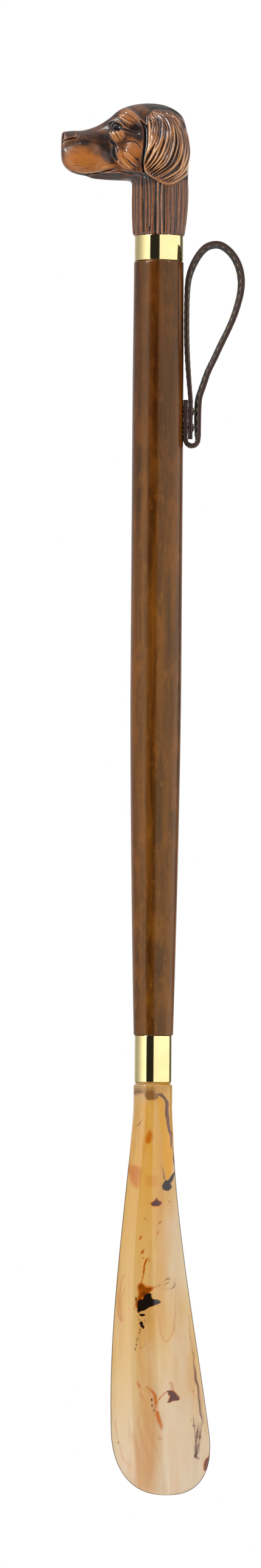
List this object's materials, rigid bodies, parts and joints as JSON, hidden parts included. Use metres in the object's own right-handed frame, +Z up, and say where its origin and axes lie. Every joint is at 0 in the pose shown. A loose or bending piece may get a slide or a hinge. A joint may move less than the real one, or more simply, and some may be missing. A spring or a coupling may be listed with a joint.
{
  "type": "long shoehorn",
  "caption": "Long shoehorn with a dog's head handle, tapered wooden shaft, brass fittings, translucent horn-effect blade and a stitched leather hanging loop.",
  "frame": {"origin": "inner top of the hanging loop, on the middle of the strap's width, where a hook bears", "axes": "+Z up along the shaft's axis towards the head, -X the way the dog's nose points, +X the side of the strap, +Y the hollow side of the blade"},
  "size_m": [0.0916, 0.0312, 0.6861],
  "materials": {
    "cast_resin": "stained and lacquered cast resin, brown-orange with dark grooves",
    "stained_wood": "satin lacquered walnut-stained wood with fine vertical grain",
    "polished_brass": "polished",
    "insert_brass": "turned",
    "nail_brass": "polished",
    "stud_steel": "zinc plated",
    "horn_acrylic": "polished translucent horn effect with dark and rusty mottling",
    "strap_leather": "dark brown grain leather",
    "lining_leather": "dark grey-brown split leather",
    "thread": "waxed tan thread"
  },
  "bodies": {
    "shaft": {"shaft": "stained_wood", "shaft_top_insert": "insert_brass", "shaft_bottom_insert": "insert_brass", "dog_head": "cast_resin", "head_insert": "insert_brass", "handle_stud": "stud_steel", "upper_collar": "polished_brass", "lower_ferrule": "polished_brass", "blade_stud": "stud_steel", "blade": "horn_acrylic", "strap_outer_fixed": "strap_leather", "strap_lining_fixed": "lining_leather", "strap_outer_tail": "strap_leather", "strap_lining_tail": "lining_leather", "strap_thread_fixed": "thread", "strap_nails": "nail_brass"},
    "loop": {"strap_outer_loop": "strap_leather", "strap_lining_loop": "lining_leather", "strap_thread_loop": "thread"}
  },
  "joints": [
    {"name": "loop_flex", "type": "hinge", "parent": "shaft", "child": "loop", "pos_m": [-0.0068, 0, -0.0761], "axis": [0, 1, 0], "range_deg": [0, 60], "stiffness_Nm_per_rad": 0.05, "springref_deg": -5.73}
  ]
}
